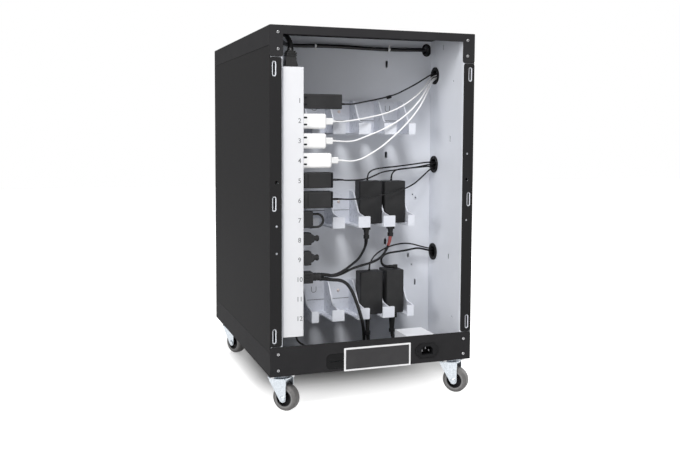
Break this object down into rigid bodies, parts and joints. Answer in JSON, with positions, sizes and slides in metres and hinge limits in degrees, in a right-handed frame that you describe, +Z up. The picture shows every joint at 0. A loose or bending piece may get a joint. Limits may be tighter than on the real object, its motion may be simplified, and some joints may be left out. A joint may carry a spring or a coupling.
{
  "type": "device charging cabinet",
  "caption": "Steel charging cabinet on four casters, with a power strip, adapter holders, bricks and cords behind, and device shelves and a vented door in front.",
  "frame": {"origin": "on the floor, under the middle of the cabinet's overall box", "axes": "+Z up; the door faces -Y, the wiring compartment opens towards +Y; +X completes the frame"},
  "size_m": [0.4144, 0.548, 0.712],
  "materials": {
    "black_coat": "satin textured powder coat",
    "white_coat": "satin powder coat",
    "white_strip": "satin powder coat",
    "white_plastic": "smooth",
    "holder_plastic": "fine grain",
    "black_plastic": "fine grain",
    "dark_plastic": "smooth",
    "grey_plastic": "smooth",
    "black_rubber": "matte",
    "plated_steel": "satin",
    "zinc_plate": "bright zinc plate",
    "grey_tyre": "matte",
    "black_cord": "smooth jacket",
    "white_cord": "smooth jacket"
  },
  "bodies": {
    "cabinet": {"base_tray": "black_coat", "top_cap": "black_coat", "side_panel_left": "black_coat", "side_panel_right": "black_coat", "liner_left": "white_coat", "liner_right": "white_coat", "divider_panel": "white_coat", "lead_duct": "white_coat", "device_shelves": "white_coat", "power_strip": "white_strip", "outlet_sockets": "dark_plastic", "black_adapters": "black_plastic", "usb_adapters": "white_plastic", "outlet_plugs": "black_plastic", "splitter_plug": "black_plastic", "strip_plug": "black_plastic", "power_bricks": "black_plastic", "brick_connectors": "black_plastic", "holder_bottom": "holder_plastic", "holder_middle": "holder_plastic", "holder_top": "holder_plastic", "cable_grommets": "black_rubber", "slit_gland": "black_rubber", "mains_inlet": "dark_plastic", "inlet_pins": "plated_steel", "inlet_cover": "grey_plastic", "fasteners": "plated_steel", "caster_plates": "zinc_plate", "mains_lead": "black_cord", "adapter_cord_1": "black_cord", "adapter_cord_2": "white_cord", "adapter_cord_3": "white_cord", "adapter_cord_4": "white_cord", "adapter_cord_5": "black_cord", "adapter_cord_6": "black_cord", "splitter_cord_1": "black_cord", "splitter_cord_2": "black_cord", "splitter_cord_3": "black_cord", "strip_cord": "black_cord", "cover_cord": "black_cord", "output_cord_1": "black_cord", "output_cord_2": "black_cord", "output_cord_3": "black_cord", "output_cord_4": "black_cord"},
    "door": {"door_panel": "black_coat", "door_hinge_pins": "plated_steel"},
    "handle": {"door_handle": "black_plastic", "lock_cam": "plated_steel"},
    "caster_swivel_1": {"caster_fork_1": "zinc_plate"},
    "caster_wheel_1": {"caster_hub_1": "dark_plastic", "caster_tyre_1": "grey_tyre"},
    "caster_swivel_2": {"caster_fork_2": "zinc_plate"},
    "caster_wheel_2": {"caster_hub_2": "dark_plastic", "caster_tyre_2": "grey_tyre"},
    "caster_swivel_3": {"caster_fork_3": "zinc_plate"},
    "caster_wheel_3": {"caster_hub_3": "dark_plastic", "caster_tyre_3": "grey_tyre"},
    "caster_swivel_4": {"caster_fork_4": "zinc_plate"},
    "caster_wheel_4": {"caster_hub_4": "dark_plastic", "caster_tyre_4": "grey_tyre"}
  },
  "joints": [
    {"name": "door_hinge", "type": "hinge", "parent": "cabinet", "child": "door", "pos_m": [-0.185, -0.244, 0.396], "axis": [0, 0, -1], "range_deg": [0, 100]},
    {"name": "handle_turn", "type": "hinge", "parent": "door", "child": "handle", "pos_m": [0.165, -0.252, 0.424], "axis": [0, -1, 0], "range_deg": [0, 90]},
    {"name": "caster_swivel_1_turn", "type": "hinge", "parent": "cabinet", "child": "caster_swivel_1", "pos_m": [0.177, 0.237, 0.06], "axis": [0, 0, 1], "continuous": true},
    {"name": "caster_wheel_1_turn", "type": "hinge", "parent": "caster_swivel_1", "child": "caster_wheel_1", "pos_m": [0.16727, 0.24707, 0.025], "axis": [-0.7193, -0.6947, 0], "continuous": true},
    {"name": "caster_swivel_2_turn", "type": "hinge", "parent": "cabinet", "child": "caster_swivel_2", "pos_m": [-0.177, 0.237, 0.06], "axis": [0, 0, 1], "continuous": true},
    {"name": "caster_wheel_2_turn", "type": "hinge", "parent": "caster_swivel_2", "child": "caster_wheel_2", "pos_m": [-0.18673, 0.24707, 0.025], "axis": [-0.7193, -0.6947, 0], "continuous": true},
    {"name": "caster_swivel_3_turn", "type": "hinge", "parent": "cabinet", "child": "caster_swivel_3", "pos_m": [0.177, -0.196, 0.06], "axis": [0, 0, 1], "continuous": true},
    {"name": "caster_wheel_3_turn", "type": "hinge", "parent": "caster_swivel_3", "child": "caster_wheel_3", "pos_m": [0.17043, -0.18364, 0.025], "axis": [-0.8829, -0.4695, 0], "continuous": true},
    {"name": "caster_swivel_4_turn", "type": "hinge", "parent": "cabinet", "child": "caster_swivel_4", "pos_m": [-0.177, -0.196, 0.06], "axis": [0, 0, 1], "continuous": true},
    {"name": "caster_wheel_4_turn", "type": "hinge", "parent": "caster_swivel_4", "child": "caster_wheel_4", "pos_m": [-0.18503, -0.18453, 0.025], "axis": [-0.8192, -0.5736, 0], "continuous": true}
  ]
}
